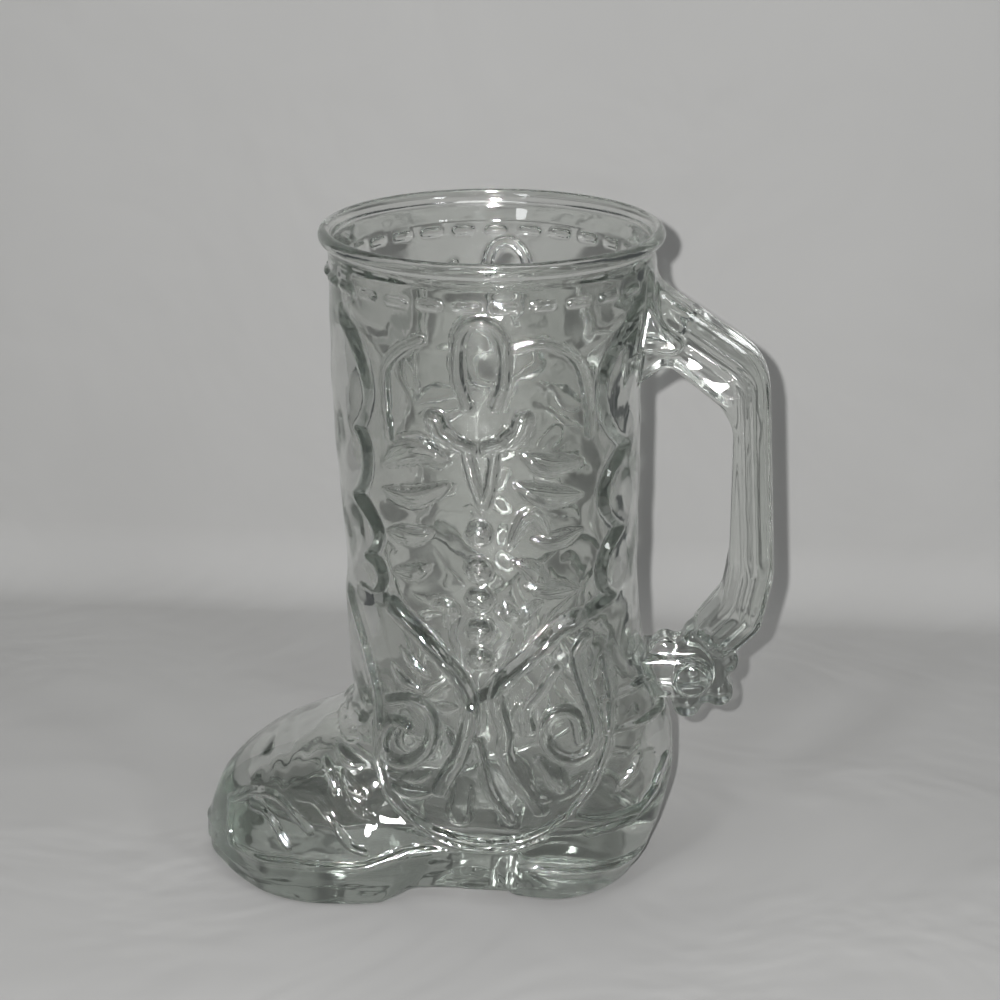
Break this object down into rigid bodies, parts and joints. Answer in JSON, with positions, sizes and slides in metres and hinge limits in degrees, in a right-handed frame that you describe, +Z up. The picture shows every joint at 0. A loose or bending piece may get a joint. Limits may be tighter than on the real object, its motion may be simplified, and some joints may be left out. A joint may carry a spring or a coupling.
{
  "type": "beer boot glass",
  "caption": "Clear moulded glass drinking mug in the shape of a western boot, with a side handle, a spur at the heel and raised western ornament.",
  "frame": {"origin": "on the table under the boot, midway between the toe's tip and the handle's back", "axes": "+Z up out of the mouth, +X from the toe toward the handle, +Y across the boot"},
  "size_m": [0.1324, 0.0764, 0.1552],
  "materials": {
    "glass": "clear pressed glass, fire polished, with a faint grey-green tint"
  },
  "bodies": {
    "root": {"leg": "glass", "rim": "glass", "foot": "glass", "sole": "glass", "heel": "glass", "handle": "glass", "handle_straps": "glass", "spur_rowel": "glass", "spur_yoke": "glass", "spur_band": "glass", "front_piping": "glass", "back_piping": "glass", "throat_cords": "glass", "scrolls": "glass", "foot_line": "glass", "pleats": "glass", "pull_straps": "glass", "studs": "glass", "drops": "glass", "toe_stitches": "glass", "counter_stitches": "glass", "stitch_band": "glass"}
  },
  "joints": []
}
